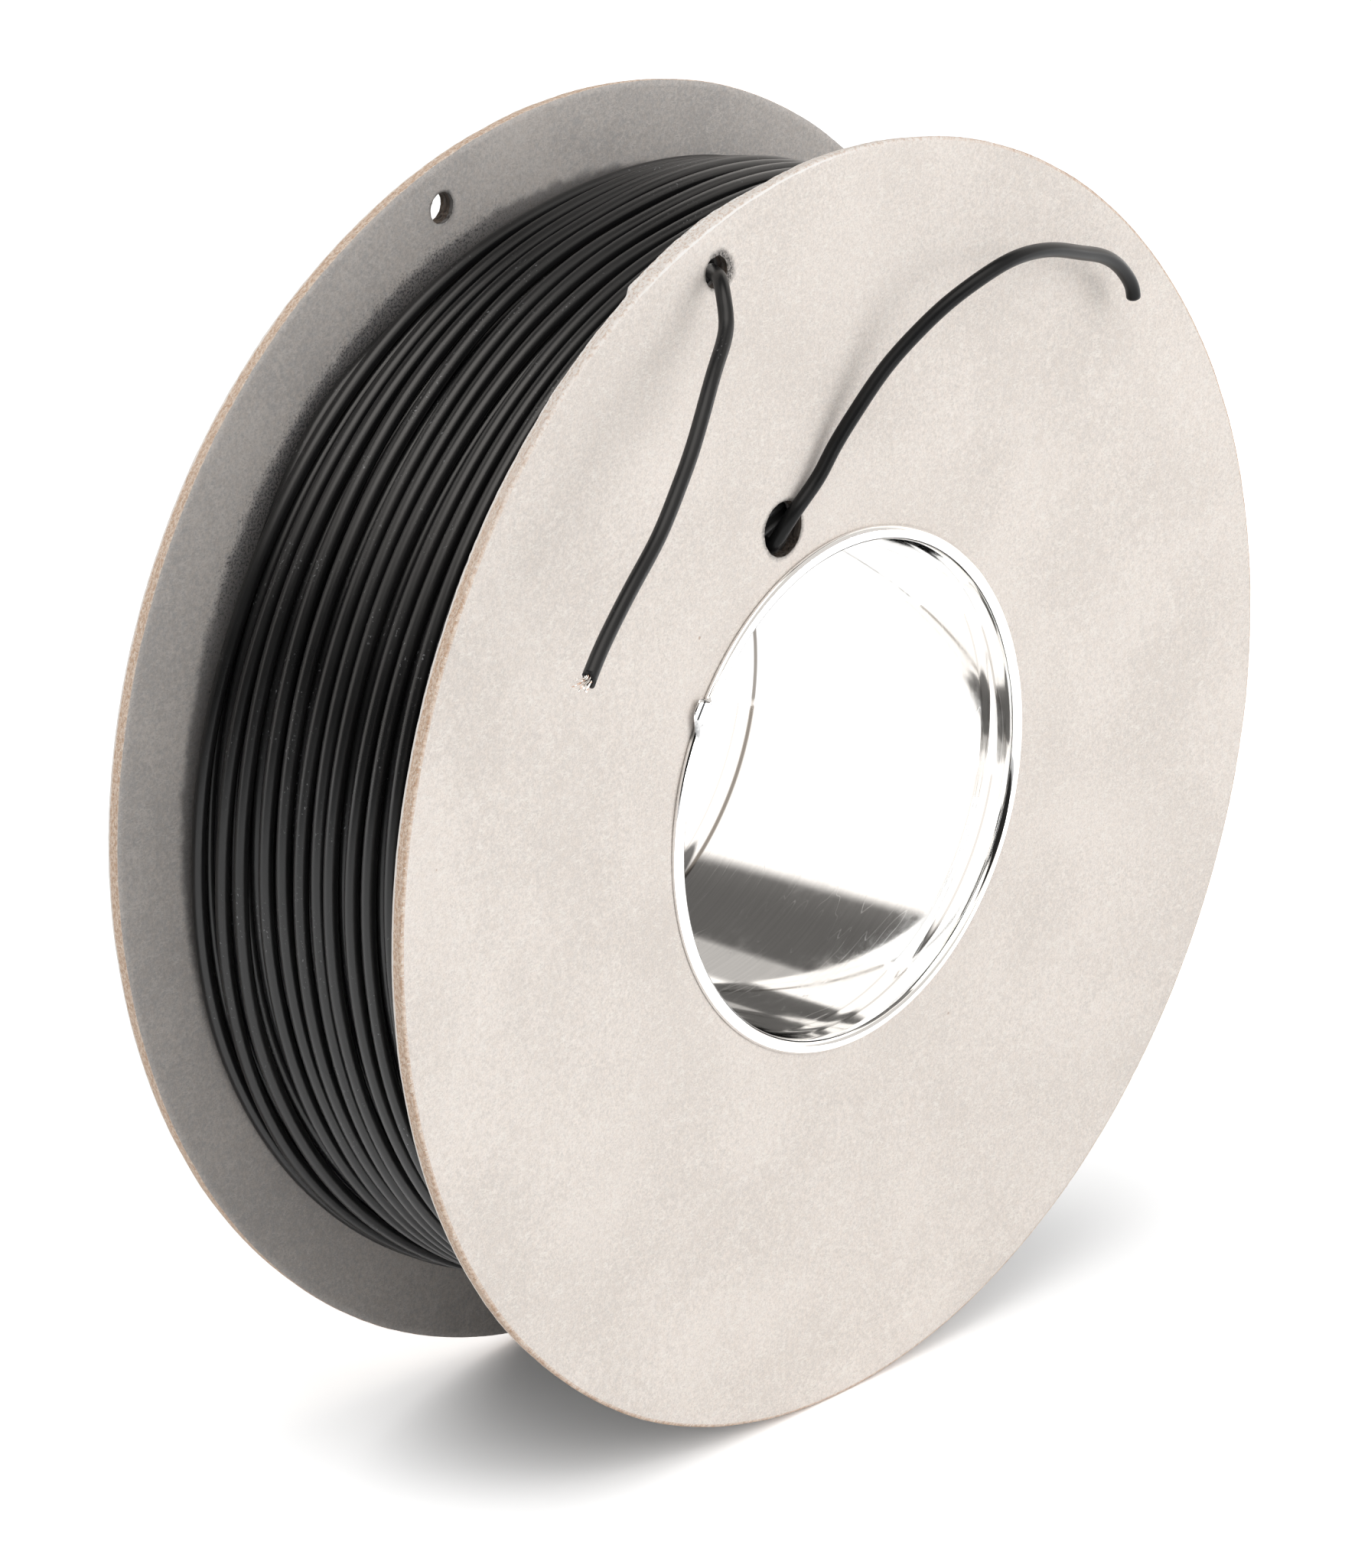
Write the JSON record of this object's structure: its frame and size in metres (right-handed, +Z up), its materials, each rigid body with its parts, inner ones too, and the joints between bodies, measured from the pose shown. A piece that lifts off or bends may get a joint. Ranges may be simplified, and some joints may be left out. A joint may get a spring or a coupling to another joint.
{
  "type": "wire reel",
  "caption": "Reel of insulated equipment wire: board discs clamped on a seamed tinplate tube, with both wire ends led out through one disc.",
  "frame": {"origin": "middle of the bore, half way between the two discs", "axes": "+Y along the reel's axis from the disc that the wire ends leave to the other disc, +Z up, the outer wire end leaves at the top towards -X"},
  "size_m": [0.14, 0.0581, 0.14],
  "materials": {
    "board": "white-lined greyboard, matt, with a brown cut edge",
    "tinplate": "bright tinplate with fine scratches",
    "insulation": "black PVC, slightly glossy",
    "strands": "tinned copper strands"
  },
  "bodies": {
    "root": {"near_flange": "board", "far_flange": "board", "core_tube": "tinplate", "wound_layers": "insulation", "outer_turns": "insulation", "inner_tail": "insulation", "outer_tail": "insulation", "outer_strands": "strands"}
  },
  "joints": []
}
